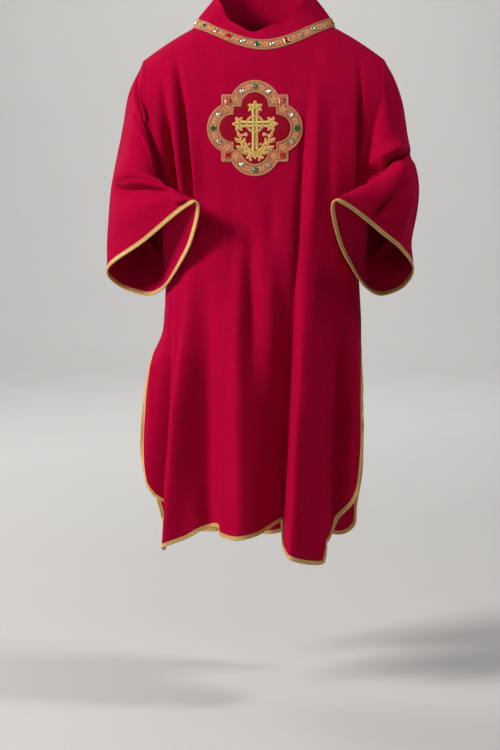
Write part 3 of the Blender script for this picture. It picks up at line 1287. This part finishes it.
def padStrips(strips, height, humps):
    # strips of padded satin stitch: (path, half width) pairs with equal steps.  Across the strip the
    # height is a half round, or two of them with a groove between
    across = np.linspace(-1, 1, embroidery["stepsAcross"] + 1)
    if humps == 1:
        bump = np.sqrt((1 - across**2).clip(0))
    else:
        twin = np.sqrt((1 - (2 * np.abs(across) - 1) ** 2).clip(0))
        bump = twin * 0.85 + 0.15 * (1 - across**2)
    paths = np.stack([path for path, _ in strips])
    halves = np.stack([half for _, half in strips])
    along = unit(np.gradient(paths, axis=1))
    aside = np.stack([-along[..., 1], along[..., 0]], axis=-1)
    flat = paths[:, :, None] + aside[:, :, None] * (halves[..., None] * across)[..., None]
    rise = height * bump * np.minimum(1, halves / halves.max(axis=1, keepdims=True) * 1.3)[..., None]
    return flat / 1000, rise / 1000, across, paths


def stripPiece(name, strips, humps=1):
    # domed top and flat foot of each strip, closed along its sides and ends
    flat, rise, across, paths = padStrips(strips, embroidery["height"][name], humps)
    top, _ = laidOn(flat, embroidery["lift"] + rise)
    foot, _ = laidOn(flat, np.full(rise.shape, embroidery["lift"] - embroidery["sunk"]))
    count, rows, columns = rise.shape
    points = np.concatenate([top.reshape(count, -1, 3), foot.reshape(count, -1, 3)], axis=1)
    index = np.arange(rows * columns).reshape(rows, columns)
    under = index + rows * columns
    faces = np.concatenate([
        cornerRows(index[:-1, :-1], index[:-1, 1:], index[1:, 1:], index[1:, :-1]),
        cornerRows(under[:-1, :-1], under[1:, :-1], under[1:, 1:], under[:-1, 1:]),
        cornerRows(index[0, :-1], under[0, :-1], under[0, 1:], index[0, 1:]),
        cornerRows(index[-1, 1:], under[-1, 1:], under[-1, :-1], index[-1, :-1]),
        cornerRows(index[1:, 0], under[1:, 0], under[:-1, 0], index[:-1, 0]),
        cornerRows(index[:-1, -1], under[:-1, -1], under[1:, -1], index[1:, -1]),
    ])
    faces = (faces[None] + (np.arange(count) * rows * columns * 2)[:, None, None]).reshape(-1, 4)
    piece = setPoints(name, points, faces)
    u = np.repeat(runLengths(paths, 1)[:, :, None] / 1000, columns, axis=2)
    v = np.broadcast_to(across * 0.5 + 0.5, u.shape)
    addUV(piece, *(np.concatenate([values.reshape(count, -1)] * 2, 1) for values in (u, v)))
    return piece


def spindle(t, width):
    # leaf outline: quickly full, slowly drawn to a point
    return width * (np.sin(pi * t**0.75).clip(0) ** 0.75 * 0.97 + 0.03)


def crossStrips():
    # every limb, leaf and the ring as paths in mm with their half widths: straight limbs, bent
    # leaves at their ends, and sprays mirrored to both sides of the foot
    steps = embroidery["stepsAlong"]
    t = np.linspace(0, 1, steps)
    limbs, leaves = [], []
    for x0, z0, x1, z1, half, endHalf in embroidery["limbs"]:
        path = np.array([x0, z0]) * (1 - t[:, None]) + np.array([x1, z1]) * t[:, None]
        limbs.append((path, half + (endHalf - half) * np.abs(2 * t - 1) ** 4))
        for x, z, fromX, fromZ in ((x0, z0, x1, z1), (x1, z1, x0, z0)):
            heading = np.array([x - fromX, z - fromZ])
            ahead = heading / np.linalg.norm(heading)
            aside = np.array([-ahead[1], ahead[0]])
            for start, bend, end, width in embroidery["fleur"]:
                places = [np.array([x, z]) + p[0] * ahead + p[1] * aside for p in (start, bend, end)]
                leaves.append((bentPath(*places, steps), spindle(t, width)))
    for sense in (-1, 1):
        mirror = np.array([sense, 1])
        for start, bend, end, width in embroidery["sprayLeaves"]:
            places = [np.array(p) * mirror for p in (start, bend, end)]
            leaves.append((bentPath(*places, steps), spindle(t, width)))
        stem = np.array(embroidery["stem"], float)
        stem = spline(stem, np.linspace(0, len(stem) - 1, steps))
        leaves.append((stem * mirror, embroidery["stemHalfWidth"] * (1 - 0.5 * t)))
        for x, z, size in embroidery["berries"]:
            path = np.stack([x * sense + size * 0.98 * (2 * t - 1), z + 0 * t], -1)
            leaves.append((path, size * np.sqrt((1.0001 - (2 * t - 1) ** 2))))
    turn = np.linspace(0, 2 * pi, steps * 2 + 1)
    ring = embroidery["ringRadius"] * np.stack([np.cos(turn), np.sin(turn)], -1)
    ring = np.array(embroidery["crossing"]) + ring
    return limbs, leaves, [(ring, np.full(len(turn), embroidery["ringHalfWidth"]))]


limbs, leaves, ring = crossStrips()
crossLimbs = stripPiece("crossLimbs", limbs, humps=2)
crossLeaves = stripPiece("crossLeaves", leaves)
crossRing = stripPiece("crossRing", ring)


def outlineCords():
    # a thin couched cord along both sides of every leaf and limb
    centres, normals = [], []
    height = embroidery["lift"] + embroidery["outlineLift"]
    for path, half in limbs + leaves:
        along = unit(np.gradient(path, axis=0))
        aside = np.stack([-along[:, 1], along[:, 0]], axis=-1)
        for sense in (-1, 1):
            flat = (path + sense * aside * (half + embroidery["outlineOff"])[:, None]) / 1000
            points, normal = laidOn(flat, np.full(len(flat), height))
            centres.append(points)
            normals.append(normal)
    centres, normals = np.stack(centres), np.stack(normals)
    thick = np.full(centres.shape[:2], embroidery["outline"] / scroll["wire"])
    return wires("crossOutline", centres, normals, thick)


crossOutline = outlineCords()
print("medallion made")


# materials.  The groups give only colours, masks and normals; shaders stay outside them

def colour(red, green, blue):
    # display values 0 to 255 turned to linear light: ((c + 0.055) / 1.055)^2.4
    share = np.array([red, green, blue]) / 255
    linear = np.where(share <= 0.04045, share / 12.92, ((share + 0.055) / 1.055) ** 2.4)
    return (*linear.tolist(), 1.0)


def feed(tree, socket, value):
    # the socket's own number or colour, or a link from another node
    if isinstance(value, (int, float, tuple)):
        socket.default_value = value
    else:
        tree.links.new(value, socket)


def nodeGroup(name, inputs, outputs):
    # a group that takes these numbers, given with their usual values, and puts these out
    group = bpy.data.node_groups.new(name, "ShaderNodeTree")
    for label, usual in inputs.items():
        socket = group.interface.new_socket(name=label, in_out="INPUT", socket_type="NodeSocketFloat")
        socket.default_value = usual
    for label in outputs:
        kind = "NodeSocketVector" if label == "Normal" else "NodeSocketFloat"
        group.interface.new_socket(name=label, in_out="OUTPUT", socket_type=kind)
    given, made = group.nodes.new("NodeGroupInput"), group.nodes.new("NodeGroupOutput")
    return group, given.outputs, made.inputs


def mathNode(tree, operation, *values):
    node = tree.nodes.new("ShaderNodeMath")
    node.operation = operation
    for socket, value in zip(node.inputs, values):
        feed(tree, socket, value)
    return node.outputs[0]


def mixColour(tree, factor, first, second):
    node = tree.nodes.new("ShaderNodeMix")
    node.data_type = "RGBA"
    for socket, value in ((0, factor), (6, first), (7, second)):
        feed(tree, node.inputs[socket], value)
    return node.outputs[2]


def scaled(tree, vector, factor):
    # a place or a colour times one number
    node = tree.nodes.new("ShaderNodeVectorMath")
    node.operation = "SCALE"
    feed(tree, node.inputs[0], vector)
    feed(tree, node.inputs["Scale"], factor)
    return node.outputs[0]


def coordinates(group, name):
    # the place on the piece, and its first two numbers by themselves
    place = group.nodes.new("ShaderNodeTexCoord").outputs[name]
    split = group.nodes.new("ShaderNodeSeparateXYZ")
    group.links.new(place, split.inputs[0])
    return place, split.outputs[0], split.outputs[1]


def noise(group, vector, scale, detail):
    node = group.nodes.new("ShaderNodeTexNoise")
    node.inputs["Detail"].default_value = detail
    feed(group, node.inputs["Scale"], scale)
    feed(group, node.inputs["Vector"], vector)
    return node.outputs["Fac"]


def relief(group, height, distance, normal, strength=1.0):
    # a normal tilted as this height would tilt it
    bump = group.nodes.new("ShaderNodeBump")
    bump.inputs["Distance"].default_value = distance
    feed(group, bump.inputs["Strength"], strength)
    feed(group, bump.inputs["Height"], height)
    group.links.new(bump.outputs["Normal"], normal)


def weaveGroup():
    # plain weave: the product of two threads' ripples, broken up by fine noise.  The shade is 1 and
    # slow drift, fine grain, the weave's own figure and slubs along the warp and, weaker, the weft
    group, given, made = nodeGroup(
        "Weave",
        {"Thread": 0.0006, "Strength": 0.4, "Drift": 0.06, "Figure": 0.0, "Streak": 0.1},
        ["Shade", "Normal"],
    )
    calc = partial(mathNode, group)
    place, *ways = coordinates(group, "UV")
    spot, _, _ = coordinates(group, "Object")
    weave = calc("MULTIPLY", *(
        calc("SINE", calc("MULTIPLY", calc("DIVIDE", way, given["Thread"]), pi)) for way in ways
    ))
    grain = noise(group, spot, 950, 2)
    height = calc("ADD", calc("MULTIPLY", weave, 0.5), calc("MULTIPLY", grain, 1.2))
    relief(group, height, 0.0004, made["Normal"], given["Strength"])
    slow = calc("MULTIPLY", calc("SUBTRACT", noise(group, spot, 9, 3), 0.5), given["Drift"])
    fast = calc("MULTIPLY", calc("SUBTRACT", grain, 0.5), 0.35)
    figure = calc("MULTIPLY", weave, given["Figure"])
    slubs = []
    for stretch in ((520, 30, 0), (26, 480, 0)):
        longer = group.nodes.new("ShaderNodeVectorMath")
        longer.operation = "MULTIPLY"
        longer.inputs[1].default_value = stretch
        group.links.new(place, longer.inputs[0])
        slubs.append(calc("SUBTRACT", noise(group, longer.outputs[0], 1.0, 2), 0.5))
    streaks = calc("MULTIPLY", calc("ADD", *slubs), given["Streak"])
    shade = calc("ADD", calc("ADD", slow, fast), 1.0)
    group.links.new(calc("ADD", shade, calc("ADD", figure, streaks)), made["Shade"])
    return group


def laceGroup():
    # braid: a twisted cord along each edge, and between them a net of thread, the edges of small
    # uneven cells, over a dark ground.  Thread is 1 on cord and net; UV runs along and across
    group, given, made = nodeGroup(
        "Lace", {"Half Width": 0.012, "Cord": 0.004, "Cell": 0.0030}, ["Thread", "Shade", "Normal"]
    )
    calc = partial(mathNode, group)
    place, along, across = coordinates(group, "UV")
    turns = [2 * pi / pitch for pitch in (0.0016, 0.0030)]  # of the cord, along it and across
    netWidth = 0.122
    toEdge = calc("SUBTRACT", given["Half Width"], calc("ABSOLUTE", across))
    onCord = calc("LESS_THAN", toEdge, given["Cord"])
    twist = calc("ADD", calc("MULTIPLY", along, turns[0]), calc("MULTIPLY", across, turns[1]))
    cordShade = calc("ADD", calc("MULTIPLY", calc("SINE", twist), 0.5), 0.5)
    cells = group.nodes.new("ShaderNodeTexVoronoi")
    cells.feature, cells.voronoi_dimensions = "DISTANCE_TO_EDGE", "2D"
    cells.inputs["Scale"].default_value = 1.0
    group.links.new(scaled(group, place, calc("DIVIDE", 1.0, given["Cell"])), cells.inputs["Vector"])
    toThread = cells.outputs["Distance"]
    thread = calc("MAXIMUM", onCord, calc("LESS_THAN", toThread, netWidth))
    rounding = calc("SUBTRACT", 1.0, calc("MULTIPLY", toThread, 2.0))
    inner = calc("MULTIPLY", calc("SUBTRACT", 1.0, onCord), rounding)
    height = calc("ADD", inner, calc("MULTIPLY", onCord, cordShade))
    grain = calc("MULTIPLY", noise(group, place, 900, 2), 0.9)
    group.links.new(thread, made["Thread"])
    group.links.new(calc("ADD", calc("MULTIPLY", height, 0.7), grain), made["Shade"])
    relief(group, height, 0.0005, made["Normal"])
    return group


def stitchGroup():
    # satin stitch: fine threads slanted over the strip.  Core is 1 on a line down its middle
    group, given, made = nodeGroup("Stitch", {"Pitch": 0.0007, "Middle": 0.24}, ["Core", "Shade", "Normal"])
    calc = partial(mathNode, group)
    _, along, across = coordinates(group, "UV")
    spot, _, _ = coordinates(group, "Object")
    aside = calc("ABSOLUTE", calc("SUBTRACT", across, 0.5))
    core = calc("MULTIPLY", calc("SUBTRACT", 1.0, calc("DIVIDE", aside, given["Middle"])), 1.6)
    core = calc("MINIMUM", calc("MAXIMUM", core, 0.0), 1.0)
    slant = calc("ADD", calc("DIVIDE", along, given["Pitch"]), calc("MULTIPLY", aside, 3.0))
    threads = calc("ADD", calc("MULTIPLY", calc("SINE", calc("MULTIPLY", slant, 2 * pi)), 0.5), 0.5)
    grain = calc("MULTIPLY", noise(group, spot, 500, 2), 1.3)
    group.links.new(core, made["Core"])
    group.links.new(calc("ADD", calc("MULTIPLY", threads, 0.35), grain), made["Shade"])
    relief(group, threads, 0.0003, made["Normal"])
    return group


def speckleGroup():
    # slow and fine unevenness of a worn or cast surface
    group, given, made = nodeGroup("Speckle", {"Scale": 300, "Amount": 0.3}, ["Shade", "Normal"])
    calc = partial(mathNode, group)
    spot, _, _ = coordinates(group, "Object")
    fine = noise(group, spot, given["Scale"], 3)
    shade = calc("ADD", calc("MULTIPLY", calc("SUBTRACT", fine, 0.5), given["Amount"]), 1.0)
    group.links.new(shade, made["Shade"])
    relief(group, fine, 0.00008, made["Normal"])
    return group


weave, lace, stitch, speckle = weaveGroup(), laceGroup(), stitchGroup(), speckleGroup()


def newMaterial(name, group, values, settings):
    # a plain shader with these settings, its normal from one of the groups set to these values
    material = bpy.data.materials.new(name)
    material.use_nodes = True
    tree = material.node_tree
    shader = tree.nodes["Principled BSDF"]
    for label, value in settings.items():
        shader.inputs[label].default_value = value
    effect = tree.nodes.new("ShaderNodeGroup")
    effect.node_tree = group
    for label, value in values.items():
        effect.inputs[label].default_value = value
    tree.links.new(effect.outputs["Normal"], shader.inputs["Normal"])
    return material, effect


def shade(material, effect, base):
    # the material's colour, made lighter and darker by the group's shade of about 1
    tree = material.node_tree
    if isinstance(base, tuple):
        base = base[:3]
    shaded = scaled(tree, base, effect.outputs["Shade"])
    tree.links.new(shaded, tree.nodes["Principled BSDF"].inputs["Base Color"])
    return material


def clothMaterial(name, base, roughness, sheen, sheenTint, weaving):
    return shade(*newMaterial(name, weave, weaving, {
        "Roughness": roughness, "Specular IOR Level": 0.05,
        "Sheen Weight": sheen, "Sheen Roughness": 0.35, "Sheen Tint": sheenTint,
    }), base)


def plainMaterial(name, base, roughness, metallic=0.0, scale=300, amount=0.3, coat=0.0):
    return shade(*newMaterial(name, speckle, {"Scale": scale, "Amount": amount}, {
        "Metallic": metallic, "Roughness": roughness, "Coat Weight": coat, "Coat Roughness": 0.05,
    }), base)


def braidMaterial(name, halfWidth, thread, ground):
    values = {"Half Width": halfWidth, "Cord": braid["cordWidth"]}
    material, net = newMaterial(name, lace, values, {"Roughness": 0.5, "Specular IOR Level": 0.3})
    return shade(material, net, mixColour(material.node_tree, net.outputs["Thread"], ground, thread))


def stitchMaterial(name, edge, core, pitch, middle):
    values = {"Pitch": pitch, "Middle": middle}
    material, satin = newMaterial(name, stitch, values, {"Roughness": 0.42, "Metallic": 0.2})
    return shade(material, satin, mixColour(material.node_tree, satin.outputs["Core"], edge, core))


crimson = clothMaterial(
    "Crimson", colour(170, 0, 50), 0.9, 0.12, colour(255, 5, 110),
    {"Thread": 0.0006, "Strength": 0.5, "Drift": 0.12, "Figure": 0.03, "Streak": 0.38},
)
darkGround = clothMaterial(
    "DarkGround", colour(150, 8, 36), 0.7, 0.1, colour(255, 80, 110),
    {"Thread": 0.0024, "Strength": 1.0, "Drift": 0.3, "Figure": 0.5, "Streak": 0.3},
)
braidGround = colour(150, 4, 30)
collarLace = braidMaterial("CollarLace", braid["width"] / 2, colour(208, 146, 100), braidGround)
frameLace = braidMaterial("FrameLace", medallion["braidWidth"] / 2, colour(220, 154, 106), braidGround)
bindingGold = stitchMaterial("BindingGold", colour(236, 188, 112), colour(205, 150, 78), 0.0013, 0.12)
limbGold = stitchMaterial("LimbGold", colour(252, 210, 120), colour(140, 112, 40), 0.0009, 0.20)
leafGold = stitchMaterial("LeafGold", colour(252, 210, 122), colour(190, 150, 66), 0.0009, 0.22)
wireGold = plainMaterial("WireGold", colour(236, 178, 124), 0.42, 0.2, 700, 0.5)
settingGold = plainMaterial("SettingGold", colour(222, 178, 116), 0.3, 0.8, 700, 0.4)
cordGold = plainMaterial("CordGold", colour(250, 212, 128), 0.4, 0.2, 800, 0.5)
gems = {
    "green": plainMaterial("Emerald", colour(8, 96, 54), 0.14, 0.0, 420, 2.4, 0.5),
    "white": plainMaterial("Crystal", colour(205, 202, 186), 0.12, 0.6, 420, 1.6, 0.4),
    "red": plainMaterial("Garnet", colour(180, 8, 32), 0.16, 0.0, 420, 1.6, 0.4),
}


def wear(material, *pieces):
    # gives the material to each piece
    for piece in pieces:
        piece.data.materials.append(material)


wear(crimson, frontCloth, backCloth, sleeveCloth[-1], sleeveCloth[1], collarCloth)
wear(darkGround, medallionField)
wear(bindingGold, *bindings.values())
wear(collarLace, collarBraid)
wear(frameLace, medallionFrame)
wear(wireGold, collarScroll, medallionScroll)
wear(limbGold, crossLimbs)
wear(leafGold, crossLeaves, crossRing)
wear(cordGold, crossOutline)
for where, kind, gem, setting, beads in stonePieces:
    wear(gems[kind], gem)
    wear(settingGold, setting, beads)
print("materials worn")


# what each piece stands for in the frame
stands = [
    (frontCloth, "crimson_cloth", "front"), (backCloth, "crimson_cloth", "back"),
    (sleeveCloth[-1], "crimson_cloth", "sleeve_left"), (sleeveCloth[1], "crimson_cloth", "sleeve_right"),
    (collarCloth, "crimson_cloth", "collar"), (collarBraid, "gold_braid", "collar_galloon"),
    (medallionFrame, "gold_braid", "medallion_frame"), (medallionField, "dark_ground", "medallion_ground"),
    (bindings["frontBinding"], "gold_binding", "binding_front"),
    (bindings["backBinding"], "gold_binding", "binding_back"),
    (bindings["leftCuffBinding"], "gold_binding", "binding_cuff_left"),
    (bindings["rightCuffBinding"], "gold_binding", "binding_cuff_right"),
]
trim = [collarScroll, medallionScroll, crossLimbs, crossLeaves, crossRing, crossOutline]
trim += [piece for row in stonePieces for piece in row[2:]]
for piece, slot, node in stands:
    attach(piece, "root")
    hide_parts(node)
for piece in trim:
    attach(piece, "root")

# what each cloth was cut to: both panels alike, widening from the chest to the hem, the sleeves
# straight at the top and cut back to the underarm, and the collar a bent strip
print("cloths declared")


# camera, soft studio lights and a pale floor

studio = {
    "floor": -1.474,
    "reach": 14,  # of the floor to each side
    "frontEdge": -12,
    "turnStart": 7, "turnRadius": 3, "turnSteps": 24,  # where the floor turns up into the wall
    "wallTop": 11,  # above the floor
    "floorColour": (205, 203, 201),
    # place, width, power in watts, colour and the place it faces
    "lights": {
        "key": ((-3.5, -2.15, 1.8), 1.3, 228, (1, 0.98, 0.97), (0, 0, -0.6)),
        "fill": ((0.6, -4.4, 1.4), 1.8, 18, (0.97, 0.98, 1), (0, 0, -0.6)),
        "rim": ((2.3, -0.5, 2.9), 0.8, 60, (1, 1, 1), (0.3, 0, -0.2)),
        "backdrop": ((0, 4.6, 4.4), 2.4, 320, (1, 1, 1), (0, 10, -0.4)),
        "behind": ((-2.9, 3.4, 1.7), 1.6, 70, (1, 1, 1), (0, 0, -0.6)),
    },
    "air": (0.85, 0.85, 0.85, 1),
    "airLight": 0.05, "airSeen": 0.42,  # on the garment, and where the camera looks past the wall
    "cameraPlace": (-0.018, -4.2, -0.32),
    "lookDown": 5.9,  # degrees below level
    "lens": 90, "sensorHeight": 36,
}


def sweep():
    # flat floor that turns up into a wall on a wide quarter circle, far enough behind to walk round
    start, radius = studio["turnStart"], studio["turnRadius"]
    turn = np.linspace(0, pi / 2, studio["turnSteps"] + 1)
    y = np.concatenate([[studio["frontEdge"]], start + radius * np.sin(turn), [start + radius]])
    z = np.concatenate([[0], radius - radius * np.cos(turn), [studio["wallTop"]]]) + studio["floor"]
    profile = np.stack([0 * y, y, z], -1)
    sideways = np.linspace(-studio["reach"], studio["reach"], 3)[None, :, None] * np.array([1, 0, 0])
    grid = profile[:, None] + sideways
    return setPoints("floor", grid, gridFaces(*grid.shape[:2])[:, ::-1])


floor = sweep()
wear(plainMaterial("PaleFloor", colour(*studio["floorColour"]), 0.9, 0.0, 1.5, 0.06), floor)


def light(name, place, size, energy, shine, target):
    # a round soft light that faces the target
    data = bpy.data.lights.new(name, "AREA")
    data.shape, data.size, data.energy, data.color = "DISK", size, energy, shine
    lamp = bpy.data.objects.new(name, data)
    lamp.location = place
    x, y, z = np.array(target, float) - np.array(place)
    lamp.rotation_euler = (np.arctan2(np.hypot(x, y), -z), 0, np.arctan2(-x, y))
    bpy.context.scene.collection.objects.link(lamp)


for name, values in studio["lights"].items():
    light(name, *values)

world = bpy.data.worlds.new("studio")
bpy.context.scene.world = world
world.use_nodes = True
nodes, links = world.node_tree.nodes, world.node_tree.links
dim, seen = nodes["Background"], nodes.new("ShaderNodeBackground")
for background, strength in ((dim, studio["airLight"]), (seen, studio["airSeen"])):
    background.inputs["Color"].default_value = studio["air"]
    background.inputs["Strength"].default_value = strength
either, rays = nodes.new("ShaderNodeMixShader"), nodes.new("ShaderNodeLightPath")
links.new(rays.outputs["Is Camera Ray"], either.inputs["Fac"])
links.new(dim.outputs["Background"], either.inputs[1])
links.new(seen.outputs["Background"], either.inputs[2])
links.new(either.outputs["Shader"], nodes["World Output"].inputs["Surface"])

camera = bpy.data.objects.new("camera", bpy.data.cameras.new("camera"))
bpy.context.scene.collection.objects.link(camera)
camera.location = studio["cameraPlace"]
camera.rotation_euler = (radians(90 - studio["lookDown"]), 0, 0)
camera.data.sensor_fit, camera.data.sensor_height = "VERTICAL", studio["sensorHeight"]
camera.data.lens = studio["lens"]
bpy.context.scene.camera = camera
bpy.context.scene.view_settings.view_transform = "Standard"
